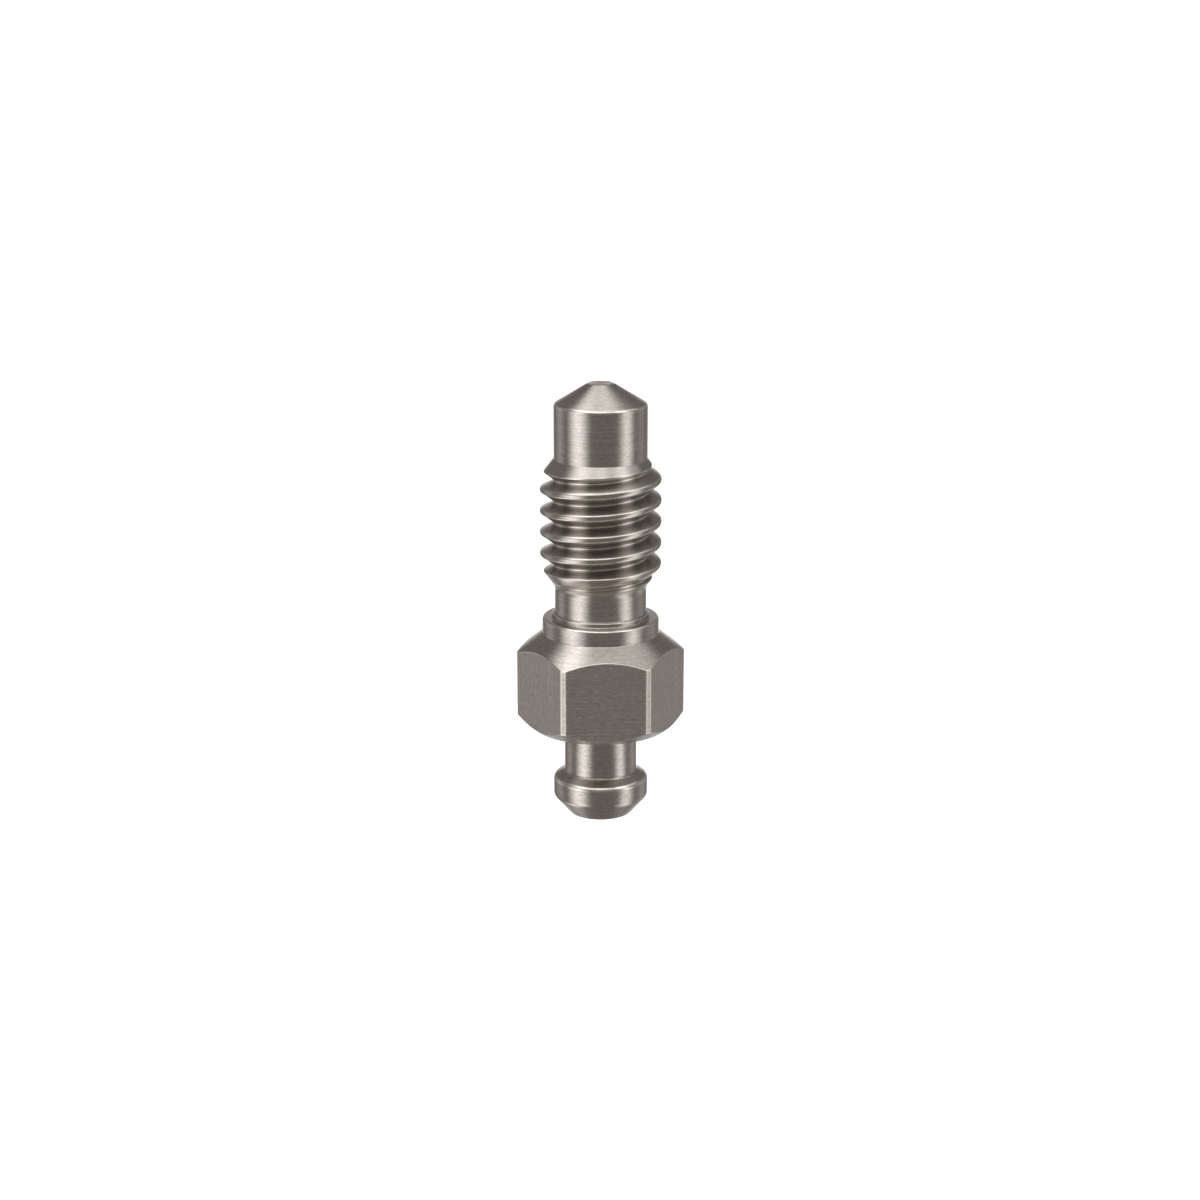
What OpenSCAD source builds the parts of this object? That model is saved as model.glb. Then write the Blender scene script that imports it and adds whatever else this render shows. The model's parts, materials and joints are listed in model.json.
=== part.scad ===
// Bleed nipple: a hollow bleed screw turned from hexagon bar.
// It stands on its hose end, with the conical seat on top. Millimetres, +Z up.
// The origin is the centre of the flat hose end.

/* [Hose end] */
// Largest diameter of the barb
barb_d = 6.24; // [5.4:0.02:8]
// Height of the barb, from the hose end to the slim neck
barb_h = 2.98; // [2.5:0.01:4]
// Drop of the barb's upper face, from the neck to the rim
barb_drop = 0.44; // [0.1:0.01:0.5]
// Rounding of the barb's rim
barb_rim_r = 0.44; // [0.1:0.01:0.5]
// Rounding between the barb's band and its lower cone
barb_belly_r = 0.85; // [0.2:0.05:1]
// Diameter of the flat hose end, measured to its sharp edge
end_d = 4.04; // [3.2:0.02:4.6]
// Angle of the lower cone, from the horizontal
end_cone_angle = 49; // [40:1:52]
// Rounding of the edge of the hose end
end_edge_r = 0.31; // [0.05:0.01:0.4]
// Diameter of the slim neck between barb and hexagon
hose_neck_d = 4.77; // [3.9:0.01:5.2]
// Length of the slim neck
hose_neck_len = 3.1; // [2:0.01:5]

/* [Hexagon] */
// Width across the flats
hex_across_flats = 9.72; // [8.1:0.02:12]
// Depth turned off the hexagon's corners
hex_corner_cut = 0.1; // [0.05:0.01:0.3]
// Height from the flat underside to the foot of the collar
hex_h = 6.38; // [5:0.01:9]
// Width of the chamfer under the flats
hex_underside_inset = 0.34; // [0.05:0.01:0.4]
// Angle of the chamfer under the hexagon, from the horizontal
hex_lower_angle = 39; // [30:1:60]
// Angle of the turned shoulder above the hexagon, from the horizontal
hex_upper_angle = 38; // [20:1:45]

/* [Collar and relief neck] */
// Diameter of the round collar
collar_d = 7.66; // [7.2:0.02:8]
// Height of the collar
collar_h = 1.05; // [0.6:0.01:2]
// Rounding of the collar's upper edge
collar_edge_r = 0.3; // [0.05:0.01:0.4]
// Height of the small step between collar and relief neck
step_h = 0.31; // [0.1:0.01:0.5]
// Width of that step
step_w = 0.16; // [0.05:0.01:0.25]
// Depth of the relief neck below the root of the thread
relief_undercut = 0.105; // [0.02:0.005:0.4]
// Length of the relief neck
relief_len = 1.78; // [1.4:0.01:3]

/* [Thread] */
// Outside diameter of the thread
thread_d = 7.94; // [7.4:0.01:9.6]
// Pitch of the thread
thread_pitch = 1.411; // [1:0.001:1.7]
// Length from the relief neck to the plain shank, chamfers included
thread_len = 8.49; // [6:0.01:12]
// Width of the flat on the crests
thread_crest = 0.31; // [0.24:0.01:0.36]
// Angle of each flank to the square of the axis
thread_flank_angle = 30; // [25:0.5:30]
// Depth of the thread, as a share of its pitch
thread_depth_ratio = 0.6134; // [0.54:0.0001:0.62]
// Length of the chamfer that leads the thread in from the plain shank
lead_in_len = 1.2; // [0.6:0.01:2]
// Length of the chamfer that runs the thread out to the relief neck
run_out_len = 1.35; // [0.6:0.01:2]
// Direction in which the groove leaves the relief neck
thread_turn = 149; // [0:1:359]

/* [Shank and seat] */
// Depth of the plain shank below the root of the thread
shank_undercut = 0.055; // [0.02:0.005:0.4]
// Length of the plain shank, from the thread to the cone
shank_len = 3.54; // [2.8:0.01:6]
// Angle of the conical seat, across its point
seat_angle = 117; // [90:1:130]
// Diameter of the flat on the point
tip_d = 1.7; // [0.6:0.05:2.2]
// Rounding of the edge of that flat
tip_edge_r = 0.28; // [0.05:0.01:0.4]
// Rounding of the edge between cone and shank
seat_edge_r = 0.28; // [0.05:0.01:0.4]

/* [Drillings] */
// Diameter of the bore that runs up from the hose end
bore_d = 2.4; // [1.5:0.05:2.9]
// Point angle of the drill
drill_angle = 118; // [90:1:140]
// Chamfer at the mouth of the bore
mouth_chamfer = 0.12; // [0.05:0.01:0.15]
// Diameter of the cross hole, through one side of the plain shank
cross_d = 1.5; // [1:0.05:1.8]
// Distance from the edge of the seat down to the middle of the cross hole
cross_inset = 1; // [1:0.05:2]

/* [Inner corners] */
// Fillet that the turning tool leaves in the inner corners
tool_fillet_r = 0.1; // [0.02:0.01:0.15]

/* [Hidden] */
$fn = 96;

// Facets of the groove in each turn, and of each rounding
turn_steps = 60;
corner_steps = 6;
// How far a cutter stands clear of the surface it cuts away
clear = 0.1;

// Thread: a helical groove with straight flanks and a narrow root
thread_r = thread_d / 2;
thread_depth = thread_depth_ratio * thread_pitch;
root_r = thread_r - thread_depth;
root_w = thread_pitch - thread_crest - 2 * thread_depth * tan(thread_flank_angle);
groove_r = thread_r + clear;
groove_w = root_w + 2 * (groove_r - root_r) * tan(thread_flank_angle);

// Radii
end_r = end_d / 2;
barb_r = barb_d / 2;
hose_neck_r = hose_neck_d / 2;
apothem = hex_across_flats / 2;
corner_r = apothem / cos(30) - hex_corner_cut;
underside_r = apothem - hex_underside_inset;
collar_r = collar_d / 2;
relief_r = root_r - relief_undercut;
step_r = relief_r + step_w;
shank_r = root_r - shank_undercut;
tip_r = tip_d / 2;
bore_r = bore_d / 2;

// Heights, from the hose end upwards
belly_z = (barb_r - end_r) * tan(end_cone_angle);
rim_z = barb_h - barb_drop;
underside_z = barb_h + hose_neck_len;
collar_foot_z = underside_z + hex_h;
hex_lower_z = underside_z + (corner_r - underside_r) * tan(hex_lower_angle);
hex_upper_z = collar_foot_z - (corner_r - collar_r) * tan(hex_upper_angle);
collar_top_z = collar_foot_z + collar_h;
step_z = collar_top_z + step_h;
thread_foot_z = step_z + relief_len;
shank_foot_z = thread_foot_z + thread_len;
seat_z = shank_foot_z + shank_len;
tip_z = seat_z + (shank_r - tip_r) * tan(90 - seat_angle / 2);
cross_z = seat_z - cross_inset;
bore_top_z = cross_z + cross_d / 2;

// The turned outline: radius, height and rounding of each corner, from the hose end up
OUTLINE = [
    [0, 0, 0],
    [end_r, 0, end_edge_r],
    [barb_r, belly_z, barb_belly_r],
    [barb_r, rim_z, barb_rim_r],
    [hose_neck_r, barb_h, tool_fillet_r],
    [hose_neck_r, underside_z, tool_fillet_r],
    [underside_r, underside_z, 0],
    [corner_r, hex_lower_z, 0],
    [corner_r, hex_upper_z, 0],
    [collar_r, collar_foot_z, tool_fillet_r],
    [collar_r, collar_top_z, collar_edge_r],
    [step_r, collar_top_z, tool_fillet_r],
    [step_r, step_z, 0],
    [relief_r, step_z, tool_fillet_r],
    [relief_r, thread_foot_z, tool_fillet_r],
    [thread_r, thread_foot_z + run_out_len, 0],
    [thread_r, shank_foot_z - lead_in_len, 0],
    [shank_r, shank_foot_z, tool_fillet_r],
    [shank_r, seat_z, seat_edge_r],
    [tip_r, tip_z, tip_edge_r],
    [0, tip_z, 0],
];

function point(corner) = [corner[0], corner[1]];

// The corner b between a and c, as an arc of its rounding, or as a point where it is sharp
function rounded(a, b, c) =
    b[2] == 0 ? [point(b)] :
    let (
        to_a = point(a) - point(b),
        to_c = point(c) - point(b),
        u = to_a / norm(to_a),
        v = to_c / norm(to_c),
        half = acos(u * v) / 2,
        // Neighbouring roundings share a wall, so each takes less than half of it
        reach = min(b[2] / tan(half), 0.48 * norm(to_a), 0.48 * norm(to_c)),
        r = reach * tan(half),
        centre = point(b) + (u + v) / norm(u + v) * r / sin(half),
        start = point(b) + u * reach - centre,
        turn = sign(u[1] * v[0] - u[0] * v[1]) * (180 - 2 * half)
    )
    [for (i = [0:corner_steps])
        let (t = turn * i / corner_steps)
        centre + [start[0] * cos(t) - start[1] * sin(t), start[0] * sin(t) + start[1] * cos(t)]];

module turned_blank() {
    last = len(OUTLINE) - 1;
    rotate_extrude()
        polygon(concat(
            [point(OUTLINE[0])],
            [for (i = [1:last - 1]) each rounded(OUTLINE[i - 1], OUTLINE[i], OUTLINE[i + 1])],
            [point(OUTLINE[last])]
        ));
}

// Blocks that mill the six flats, one of them square to -Y
module flats_cutter() {
    depth = corner_r - apothem + clear;
    for (i = [0:5])
        rotate(60 * i + 30)
            translate([apothem, -corner_r, underside_z - clear])
                cube([depth, 2 * corner_r, hex_h + 2 * clear]);
}

// The groove of the thread, as one section carried round the axis and up it.
// It starts in the free space of the relief neck and ends in that round the shank.
module groove_cutter() {
    section = [
        [root_r, -root_w / 2],
        [groove_r, -groove_w / 2],
        [groove_r, groove_w / 2],
        [root_r, root_w / 2],
    ];
    n = len(section);
    foot_z = thread_foot_z - groove_w / 2 - clear;
    head_z = shank_foot_z + groove_w / 2 + clear;
    steps = ceil((head_z - foot_z) / thread_pitch * turn_steps);
    start_angle = thread_turn + 360 * (foot_z - thread_foot_z) / thread_pitch;
    points = [for (i = [0:steps])
        let (angle = 360 * i / turn_steps)
        for (p = section) [
            p[0] * cos(start_angle + angle),
            p[0] * sin(start_angle + angle),
            foot_z + thread_pitch * angle / 360 + p[1],
        ]];
    sides = [for (i = [0:steps - 1], k = [0:n - 1])
        let (a = i * n + k, b = i * n + (k + 1) % n)
        each [[a, b, b + n], [a, b + n, a + n]]];
    foot_cap = [[0, 2, 1], [0, 3, 2]];
    head = steps * n;
    head_cap = [[head, head + 1, head + 2], [head, head + 2, head + 3]];
    polyhedron(points, concat(sides, foot_cap, head_cap), convexity = 10);
}

// The bore with its drill point and mouth chamfer, and the cross hole towards +Y
module drillings() {
    translate([0, 0, -clear])
        cylinder(h = bore_top_z + clear, r = bore_r);
    translate([0, 0, bore_top_z])
        cylinder(h = bore_r / tan(drill_angle / 2), r1 = bore_r, r2 = 0);
    translate([0, 0, -clear])
        cylinder(h = mouth_chamfer + clear, r1 = bore_r + mouth_chamfer + clear, r2 = bore_r);
    translate([0, 0, cross_z])
        rotate([-90, 0, 0])
            cylinder(h = shank_r + clear, d = cross_d);
}

module bleed_nipple() {
    color("#8f8a83")
        difference() {
            turned_blank();
            flats_cutter();
            groove_cutter();
            drillings();
        }
}

bleed_nipple();
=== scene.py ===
import json
from math import acos, ceil, copysign, cos, hypot, pi, radians, sin, tan

import bmesh
import bpy
from bpy.props import FloatProperty, FloatVectorProperty, IntProperty, PointerProperty
from bpy.types import Operator, Panel, PropertyGroup
from mathutils import Matrix, Vector


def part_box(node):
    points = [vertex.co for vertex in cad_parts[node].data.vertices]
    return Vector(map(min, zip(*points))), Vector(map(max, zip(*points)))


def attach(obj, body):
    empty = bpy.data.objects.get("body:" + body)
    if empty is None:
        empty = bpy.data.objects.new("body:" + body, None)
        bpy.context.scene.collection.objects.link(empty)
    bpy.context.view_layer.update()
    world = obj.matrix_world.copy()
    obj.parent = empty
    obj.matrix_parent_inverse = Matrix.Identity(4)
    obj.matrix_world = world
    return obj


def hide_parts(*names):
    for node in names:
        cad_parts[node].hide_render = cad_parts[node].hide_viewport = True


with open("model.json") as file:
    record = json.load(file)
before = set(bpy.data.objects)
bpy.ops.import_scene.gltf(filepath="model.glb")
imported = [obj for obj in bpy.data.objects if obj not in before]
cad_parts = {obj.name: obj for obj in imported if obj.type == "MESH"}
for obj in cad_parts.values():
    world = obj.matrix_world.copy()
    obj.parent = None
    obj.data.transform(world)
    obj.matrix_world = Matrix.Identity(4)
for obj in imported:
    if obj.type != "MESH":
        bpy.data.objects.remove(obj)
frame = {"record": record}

bl_info = {
    "name": "Bleed Nipple",
    "version": (1, 0, 0),
    "blender": (4, 5, 0),
    "location": "3D View > Sidebar > Bleed Nipple",
    "description": "A turned stainless steel bleed nipple, with its thread, hexagon and hose barb",
    "category": "Object",
}

MM = 0.001
# The part's node, the piece that stands for it, and the object that holds the thread's turns until
# they are joined to it
NODE = "bleed_nipple"
PIECE = "steel_nipple"
THREAD = "thread_turns"
# Attributes that the steel reads: place across and along the tool marks, nearness to a broken edge or
# the thread's root, which makes the steel smoother and paints a highlight on it, and depth in the
# thread's groove, which paints shade
MARKS = "tool_marks"
EDGES = "broken_edges"
GROOVE = "groove_depth"

MOUNTS = {mount["name"]: mount for mount in frame["record"]["mounts"]}
TIP_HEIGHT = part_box(NODE)[1].z
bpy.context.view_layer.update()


def mount_radius(name):
    """The radius of a round mount of the frame, in metres."""
    return MOUNTS[name]["dims"]["r_mm"] * MM


def length(name, metres, description):
    """A setting for a length, in metres."""
    return FloatProperty(
        name=name, description=description, default=metres, min=0, precision=5, unit="LENGTH"
    )


def angle(name, degrees, description):
    """A setting for an angle, whose default is given in degrees."""
    return FloatProperty(
        name=name, description=description, default=radians(degrees), subtype="ANGLE"
    )


def share(name, value, description):
    """A setting for a plain number that is not negative."""
    return FloatProperty(name=name, description=description, default=value, min=0)


def colour(name, value, description):
    """A setting for a colour."""
    return FloatVectorProperty(
        name=name, description=description, default=value, size=3, min=0, max=1, subtype="COLOR"
    )


# ---------------------------------------------------------------- settings


class HoseEndSizes(PropertyGroup):
    """The barb and the slim neck above it."""

    barb_radius: length("Barb radius", mount_radius("hose_barb"), "Largest radius of the barb")
    barb_height: length("Barb height", 2.98 * MM, "Height from the hose end to the neck")
    barb_drop: length("Barb drop", 0.44 * MM, "Drop of the upper face from neck to rim")
    rim_rounding: length("Rim rounding", 0.38 * MM, "Rounding of the barb's rim")
    belly_rounding: length("Belly rounding", 0.5 * MM, "Rounding above the lower cone")
    end_radius: length("End radius", 2.02 * MM, "Radius of the hose end at its sharp edge")
    cone_angle: angle("Cone angle", 49, "Angle of the lower cone from the horizontal")
    edge_rounding: length("Edge rounding", 0.31 * MM, "Rounding of the edge of the hose end")
    neck_radius: length("Neck radius", 2.385 * MM, "Radius of the slim neck")
    neck_length: length("Neck length", 3.1 * MM, "Length of the slim neck")
    neck_fillet: length("Neck fillet", 0.3 * MM, "Fillet between the barb and the slim neck")


class HexagonSizes(PropertyGroup):
    """The hexagon and the round collar above it."""

    apothem: length(
        "Apothem", -MOUNTS["spanner_flat"]["pos_m"][1], "Distance from the axis to a flat"
    )
    corner_cut: length("Corner cut", 0.1 * MM, "Depth turned off the corners")
    height: length("Height", 6.38 * MM, "Height from the underside to the collar's foot")
    underside_inset: length("Underside inset", 0.34 * MM, "Width of the lower chamfer")
    lower_angle: angle("Lower angle", 39, "Angle of the lower chamfer from the horizontal")
    upper_angle: angle("Upper angle", 38, "Angle of the shoulder from the horizontal")
    collar_radius: length("Collar radius", 3.83 * MM, "Radius of the collar")
    collar_height: length("Collar height", 1.05 * MM, "Height of the collar")
    collar_rounding: length("Collar rounding", 0.3 * MM, "Rounding of the upper edge")


class ThreadSizes(PropertyGroup):
    """The thread and the relief neck under it."""

    radius: length("Radius", 3.97 * MM, "Outside radius")
    pitch: length("Pitch", 1.411 * MM, "Rise of one turn")
    total: length("Length", 8.49 * MM, "Length from relief neck to shank")
    crest: length("Crest", 0.31 * MM, "Width of the flat on the crests")
    flank_angle: angle("Flank angle", 30, "Angle of a flank to the square of the axis")
    depth_ratio: share("Depth", 0.6134, "Depth as a share of the pitch")
    lead_in: length("Lead-in", 1.2 * MM, "Length of the chamfer at the shank")
    run_out: length("Run-out", 1.35 * MM, "Length of the chamfer at the relief neck")
    start: angle("Start", 149, "Direction in which the groove leaves the relief neck")
    step_height: length("Step height", 0.31 * MM, "Height of the step on the collar")
    step_width: length("Step width", 0.16 * MM, "Width of the step on the collar")
    relief_undercut: length("Relief undercut", 0.105 * MM, "Depth of the neck below the root")
    relief_length: length("Relief length", 1.78 * MM, "Length of the relief neck")
    crest_rounding: length("Crest rounding", 0.26 * MM, "Softening of the crests' edges")
    root_rounding: length("Root rounding", 0.13 * MM, "Softening of the corners at the root")
    root_drop: length("Root drop", 0.08 * MM, "Drop of the root below the middle of two crests")


class ShankSizes(PropertyGroup):
    """The plain shank, the conical seat and the drillings."""

    radius: length("Radius", 3.0495 * MM, "Radius of the plain shank")
    seat_angle: angle("Seat angle", 117, "Angle of the cone across its point")
    tip_radius: length("Tip radius", 0.85 * MM, "Radius of the flat on the point")
    tip_rounding: length("Tip rounding", 0.28 * MM, "Rounding of the edge of that flat")
    seat_rounding: length("Seat rounding", 0.28 * MM, "Rounding between cone and shank")
    bore_radius: length("Bore radius", mount_radius("fluid_bore"), "Radius of the bore")
    drill_angle: angle("Drill angle", 118, "Angle of the drill's point")
    mouth_chamfer: length("Mouth chamfer", 0.12 * MM, "Chamfer at the mouth of the bore")
    cross_radius: length("Cross hole radius", 0.75 * MM, "Radius of the cross hole")
    cross_inset: length("Cross hole inset", 1.0 * MM, "Distance below the seat's edge")
    tool_fillet: length("Tool fillet", 0.1 * MM, "Fillet in the inner corners")
    edge_break: length("Edge break", 0.11 * MM, "Softening of the outer edges")
    columns: IntProperty(name="Columns", description="Facets round the axis", default=192, min=24)


class SteelFinish(PropertyGroup):
    """The look of the steel."""

    tone: colour("Steel", (0.575, 0.537, 0.495), "Colour of the bare steel")
    turned_roughness: share("Turned roughness", 0.26, "Roughness of the turned faces")
    threaded_roughness: share("Thread roughness", 0.25, "Roughness of the thread")
    milled_roughness: share("Milled roughness", 0.42, "Roughness of the flats")
    drilled_roughness: share("Drilled roughness", 0.45, "Roughness inside the drillings")


class StudioSettings(PropertyGroup):
    """Camera and light."""

    lens: FloatProperty(name="Lens", description="Focal length in mm", default=75)
    distance: length("Distance", 163.7 * MM, "Distance from the camera to its target")
    target: length("Target height", 14.573 * MM, "Height of the point looked at")
    aside: length("Target aside", 0.04 * MM, "Distance of that point to the left of the axis")
    elevation: angle("Elevation", 15.3, "Height of the camera above the horizon")
    azimuth: angle("Azimuth", -4.13, "Turn of the camera from the front, to the right")
    surround: share("Surround", 0.19, "Brightness of the room in reflections")
    surround_tone: colour("Surround tone", (1.0, 0.935, 0.88), "Warm colour of the room")


def settings():
    """The settings of the open scene."""
    return bpy.context.scene.bleed_nipple


class NippleSettings(PropertyGroup):
    """All the settings of the bleed nipple."""

    hose_end: PointerProperty(type=HoseEndSizes)
    hexagon: PointerProperty(type=HexagonSizes)
    thread: PointerProperty(type=ThreadSizes)
    shank: PointerProperty(type=ShankSizes)
    steel: PointerProperty(type=SteelFinish)
    studio: PointerProperty(type=StudioSettings)


# How far the mesh of the thread reaches past the thread's own ends
THREAD_MARGIN = 0.25 * MM


class Levels:
    """Heights and radii that follow from the settings, from the hose end upwards."""

    def __init__(self, s):
        end, hexagon, thread, shank = s.hose_end, s.hexagon, s.thread, s.shank
        self.root_r = thread.radius - thread.depth_ratio * thread.pitch
        self.relief_r = self.root_r - thread.relief_undercut
        self.step_r = self.relief_r + thread.step_width
        self.corner_r = hexagon.apothem / cos(pi / 6) - hexagon.corner_cut
        self.underside_r = hexagon.apothem - hexagon.underside_inset
        self.belly = (end.barb_radius - end.end_radius) * tan(end.cone_angle)
        self.rim = end.barb_height - end.barb_drop
        self.underside = end.barb_height + end.neck_length
        self.collar_foot = self.underside + hexagon.height
        self.collar_top = self.collar_foot + hexagon.collar_height
        self.step = self.collar_top + thread.step_height
        self.thread_foot = self.step + thread.relief_length
        self.shank_foot = self.thread_foot + thread.total
        cone = (shank.radius - shank.tip_radius) / tan(shank.seat_angle / 2)
        self.seat = TIP_HEIGHT - cone
        self.cross = self.seat - shank.cross_inset
        self.bore_top = self.cross + shank.cross_radius
        self.thread_low = self.thread_foot - THREAD_MARGIN
        self.thread_high = self.shank_foot + THREAD_MARGIN
        # Circles in flat faces where meshes of different columns meet
        self.underside_join = (end.neck_radius + hexagon.apothem) / 2
        self.collar_join = (self.step_r + hexagon.collar_radius) / 2


# ---------------------------------------------------------------- outlines and meshes

# Facets of each rounding
ARC_STEPS = 8
# Neighbouring roundings share a wall, so each takes less than half of it
MOST_OF_WALL = 0.48
# Roundings of outer edges under this radius are edges that were broken and polished: smoother, and
# lighter by a painted highlight
BROKEN_BELOW = 0.4 * MM
FINISHES = ("turned_steel", "milled_steel", "drilled_steel", "threaded_steel")
TURNED, MILLED, DRILLED, THREADED = range(4)


def rounded_outline(corners):
    """The outline through (radius, height, rounding) corners, with an arc at each one between."""
    points = [Vector(corners[0][:2])]
    for before, corner, after in zip(corners, corners[1:], corners[2:]):
        here = Vector(corner[:2])
        back, on = Vector(before[:2]) - here, Vector(after[:2]) - here
        u, v = back.normalized(), on.normalized()
        half = u.angle(v) / 2
        reach = min(corner[2] / tan(half), MOST_OF_WALL * back.length, MOST_OF_WALL * on.length)
        centre = here + (u + v).normalized() * reach / cos(half)
        start = here + u * reach - centre
        sweep = copysign(pi - 2 * half, u.y * v.x - u.x * v.y)
        for i in range(ARC_STEPS + 1):
            points.append(centre + Matrix.Rotation(sweep * i / ARC_STEPS, 2) @ start)
    points.append(Vector(corners[-1][:2]))
    return points


def edge_weights(corners):
    """How much each point of the rounded outline lies on a broken outer edge, from 0 to 1."""
    weights = [0.0]
    for before, corner, after in zip(corners, corners[1:], corners[2:]):
        back = Vector(before[:2]) - Vector(corner[:2])
        on = Vector(after[:2]) - Vector(corner[:2])
        outer = on.x * back.y - on.y * back.x > 0
        broken = outer and corner[2] < BROKEN_BELOW
        for i in range(ARC_STEPS + 1):
            weights.append(sin(pi * i / ARC_STEPS) if broken else 0.0)
    return [*weights, 0.0]


def distances(outline):
    """How far along the outline each of its points lies."""
    found = [0.0]
    for a, b in zip(outline, outline[1:]):
        found.append(found[-1] + (b - a).length)
    return found


class Gathered:
    """Points and faces, with a finish for each face and tool mark coordinates for each corner.

    The first coordinate runs across the marks, and the other two run slowly along them.
    """

    def __init__(self):
        self.points, self.faces, self.marks, self.edges, self.finishes = [], [], [], [], []

    def add_face(self, corners, marks, edges, finish):
        self.faces.append(corners)
        self.marks.extend(marks)
        self.edges.extend(edges)
        self.finishes.append(finish)

    def add_grid(self, rows, marks, edge, finish):
        """A grid closed round the axis.

        marks, edge and finish are functions of row and column, and marks is also given the
        finish and the column of the face that it is asked for.
        """
        first, width = len(self.points), len(rows[0])
        for row in rows:
            self.points.extend(row)
        for r in range(len(rows) - 1):
            for c in range(width):
                spots = [(r, c), (r, (c + 1) % width), (r + 1, (c + 1) % width), (r + 1, c)]
                kind = finish(r, c)
                self.add_face(
                    [first + i * width + j for i, j in spots],
                    [marks(i, j, kind, c) for i, j in spots],
                    [edge(i, j) for i, j in spots],
                    kind,
                )

    def add_turned(self, corners, angles, finish=TURNED):
        """The rounded outline of some corners, spun round the axis."""
        outline, weights = rounded_outline(corners), edge_weights(corners)
        across = distances(outline)
        rows = [[(p.x * cos(a), p.x * sin(a), p.y) for a in angles] for p in outline]
        self.add_grid(
            rows,
            lambda r, c, kind, face: (across[r], *rows[r][c][:2]),
            lambda r, c: weights[r],
            lambda r, c: finish,
        )

    def add_flat_ring(self, z, inner_r, inner_angles, outer_r, outer_angles):
        """A flat ring between two circles of points, which may differ in number."""
        rings = []
        for radius, angles in ((inner_r, inner_angles), (outer_r, outer_angles)):
            rings.append((len(self.points), radius, [*angles, 2 * pi]))
            self.points.extend((radius * cos(a), radius * sin(a), z) for a in angles)
        (first, _, inner), (second, _, outer) = rings
        i = j = 0
        while i + 1 < len(inner) or j + 1 < len(outer):
            if i + 1 < len(inner) and j + 1 < len(outer):
                inner_next = inner[i + 1] <= outer[j + 1]
            else:
                inner_next = j + 1 == len(outer)
            a = first + i % (len(inner) - 1)
            b = second + j % (len(outer) - 1)
            if inner_next:
                i += 1
                corners = [a, first + i % (len(inner) - 1), b]
            else:
                j += 1
                corners = [a, second + j % (len(outer) - 1), b]
            marks = [(hypot(*self.points[p][:2]), *self.points[p][:2]) for p in corners]
            self.add_face(corners, marks, [0.0] * 3, TURNED)

    def mesh(self, name, materials):
        """A mesh of everything gathered, with its finishes and attributes."""
        made = bpy.data.meshes.new(name)
        made.from_pydata(self.points, [], self.faces)
        layer = made.attributes.new(MARKS, "FLOAT_VECTOR", "CORNER")
        layer.data.foreach_set("vector", [x for mark in self.marks for x in mark])
        made.attributes.new(EDGES, "FLOAT", "CORNER").data.foreach_set("value", self.edges)
        made.attributes.new(GROOVE, "FLOAT", "CORNER")
        for material in materials:
            made.materials.append(material)
        made.polygons.foreach_set("material_index", self.finishes)
        return made


def even_angles(count):
    """Directions of that many columns, evenly round the axis."""
    return [2 * pi * i / count for i in range(count)]


def smooth_min(a, b, width):
    """The lower of two values, softened where they are within width of each other."""
    h = max(width - abs(a - b), 0) / width
    return min(a, b) - h**3 * width / 6


# ---------------------------------------------------------------- the parts of the body

# Widths of the narrow flat rings that join meshes of different columns
UNDERSIDE_RING = 0.3 * MM
COLLAR_RING = 0.1 * MM
MOUTH_RING = 0.05 * MM


def add_hose_end(gathered, s, at):
    """Hose end, barb, slim neck and the inner part of the hexagon's underside."""
    end, shank = s.hose_end, s.shank
    angles = even_angles(shank.columns)
    mouth_r = shank.bore_radius + shank.mouth_chamfer
    gathered.add_turned([
        (mouth_r + 2 * MOUTH_RING, 0, 0),
        (end.end_radius, 0, end.edge_rounding),
        (end.barb_radius, at.belly, end.belly_rounding),
        (end.barb_radius, at.rim, end.rim_rounding),
        (end.neck_radius, end.barb_height, end.neck_fillet),
        (end.neck_radius, at.underside, shank.tool_fillet),
        (at.underside_join - UNDERSIDE_RING, at.underside, 0),
    ], angles)


# Width of the broken edge on each side of a corner strip, as an angle round the axis
STRIP_EDGE = radians(0.9)
# Columns beside each edge of a corner strip: their spacing, and how many to each side
NEAR_STEP = radians(0.2)
NEAR_COLUMNS = 5
# Columns from there to the middle of a flat
FLAT_COLUMNS = 9
# Softening of the edges of the corner strips
STRIP_SOFTENING = 0.03 * MM


def hexagon_columns(hexagon, corner_r):
    """Angles of the hexagon's columns: dense beside each corner, and even across the flats."""
    strip = pi / 6 - acos(hexagon.apothem / corner_r)
    near = [strip + NEAR_STEP * i for i in range(-NEAR_COLUMNS, NEAR_COLUMNS + 1)]
    rest = pi / 6 - near[-1]
    across_flat = [near[-1] + rest * i / FLAT_COLUMNS for i in range(1, FLAT_COLUMNS + 1)]
    offsets = [o for o in [*near, *across_flat] if o > 0]
    sector = sorted([-o for o in offsets[:-1]] + [0.0] + offsets)
    return sorted((pi / 3 * k + o) % (2 * pi) for k in range(6) for o in sector)


def hexagon_radius(turn, hexagon, corner_r):
    """Distance from the axis to the side of the hexagon, with a corner every sixth of a turn."""
    off_flat = (turn % (pi / 3)) - pi / 6
    return smooth_min(hexagon.apothem / cos(off_flat), corner_r, STRIP_SOFTENING)


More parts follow.
